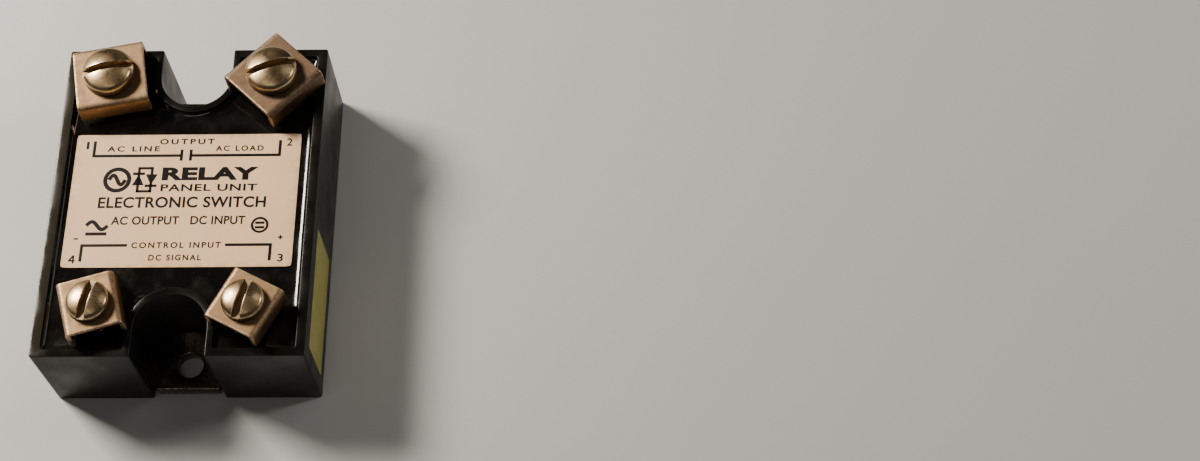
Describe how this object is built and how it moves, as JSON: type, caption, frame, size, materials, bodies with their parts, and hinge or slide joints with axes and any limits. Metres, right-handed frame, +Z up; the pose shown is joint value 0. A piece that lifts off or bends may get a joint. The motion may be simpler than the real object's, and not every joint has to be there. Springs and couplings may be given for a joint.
{
  "type": "solid state relay",
  "caption": "Panel-mount solid state relay: potted open-top block case on a metal base plate with a bolt notch at each end and slotted screw terminals with saddle clamp plates.",
  "frame": {"origin": "centre of the bottom mounting face of the case and base plate", "axes": "+Y along the length towards the output (load) terminals, +X across the width to the right seen from the input end, +Z up away from the mounting face"},
  "size_m": [0.045, 0.0587, 0.0257],
  "materials": {
    "case_plastic": "dark grey-black moulded plastic, low gloss, fine moulded grain",
    "base_metal": "dull warm-grey plated metal, fine flat-sawn grain",
    "potting_epoxy": "glossy black poured epoxy with a raised rim at the walls",
    "top_label_film": "satin creamy film with black print",
    "side_label_paper": "satin pale olive-yellow sticker",
    "post_brass": "machined brass, lightly dulled",
    "clamp_nickel": "satin warm nickel plate",
    "screw_nickel": "polished warm nickel plate",
    "alumina": "matt white alumina",
    "copper": "bright copper, lightly oxidised",
    "silicon": "grey metallised chip",
    "tinned_wire": "tinned wire",
    "board_laminate": "green laminate with solder mask",
    "package_black": "black moulded package",
    "resistor_body": "tan lacquered ceramic with colour bands",
    "snubber_ceramic": "blue-grey lacquered ceramic",
    "capacitor_box": "yellow boxed film capacitor"
  },
  "bodies": {
    "relay": {"case_shell": "case_plastic", "base_plate": "base_metal", "potting": "potting_epoxy", "top_label": "top_label_film", "side_label": "side_label_paper", "load_terminal_1": "post_brass", "load_terminal_2": "post_brass", "input_terminal_3": "post_brass", "input_terminal_4": "post_brass", "ceramic_substrate": "alumina", "copper_pads": "copper", "thyristor_a": "silicon", "thyristor_b": "silicon", "cathode_strap_a": "copper", "cathode_strap_b": "copper", "load_lead_1": "copper", "load_lead_2": "copper", "input_lead_3": "copper", "input_lead_4": "copper", "gate_leads": "tinned_wire", "snubber_leads": "tinned_wire", "control_board": "board_laminate", "optocoupler": "package_black", "input_resistor": "resistor_body", "protection_diode": "package_black", "input_transistor": "package_black", "gate_resistors": "resistor_body", "snubber_resistor": "snubber_ceramic", "snubber_capacitor": "capacitor_box"},
    "clamp_1": {"clamp_plate_1": "clamp_nickel"},
    "screw_1": {"terminal_screw_1": "screw_nickel"},
    "clamp_2": {"clamp_plate_2": "clamp_nickel"},
    "screw_2": {"terminal_screw_2": "screw_nickel"},
    "clamp_3": {"clamp_plate_3": "clamp_nickel"},
    "screw_3": {"terminal_screw_3": "screw_nickel"},
    "clamp_4": {"clamp_plate_4": "clamp_nickel"},
    "screw_4": {"terminal_screw_4": "screw_nickel"}
  },
  "joints": [
    {"name": "clamp_1_lift", "type": "slide", "parent": "relay", "child": "clamp_1", "axis": [0, 0, 1], "range_m": [0, 0.00277]},
    {"name": "screw_1_turn", "type": "hinge", "parent": "clamp_1", "child": "screw_1", "pos_m": [-0.014, 0.0217, 0.0225], "axis": [0, 0, 1], "range_deg": [0, 1260]},
    {"name": "clamp_2_lift", "type": "slide", "parent": "relay", "child": "clamp_2", "axis": [0, 0, 1], "range_m": [0, 0.00277]},
    {"name": "screw_2_turn", "type": "hinge", "parent": "clamp_2", "child": "screw_2", "pos_m": [0.014, 0.0217, 0.0225], "axis": [0, 0, 1], "range_deg": [0, 1260]},
    {"name": "clamp_3_lift", "type": "slide", "parent": "relay", "child": "clamp_3", "axis": [0, 0, 1], "range_m": [0, 0.00238]},
    {"name": "screw_3_turn", "type": "hinge", "parent": "clamp_3", "child": "screw_3", "pos_m": [0.0126, -0.0209, 0.0225], "axis": [0, 0, 1], "range_deg": [0, 1080]},
    {"name": "clamp_4_lift", "type": "slide", "parent": "relay", "child": "clamp_4", "axis": [0, 0, 1], "range_m": [0, 0.00238]},
    {"name": "screw_4_turn", "type": "hinge", "parent": "clamp_4", "child": "screw_4", "pos_m": [-0.0126, -0.0209, 0.0225], "axis": [0, 0, 1], "range_deg": [0, 1080]}
  ],
  "couplings": [
    {"joint": "screw_1_turn", "follows": "clamp_1_lift", "rad_per_m": 7915.8},
    {"joint": "screw_2_turn", "follows": "clamp_2_lift", "rad_per_m": 7915.8},
    {"joint": "screw_3_turn", "follows": "clamp_3_lift", "rad_per_m": 7915.8},
    {"joint": "screw_4_turn", "follows": "clamp_4_lift", "rad_per_m": 7915.8}
  ]
}
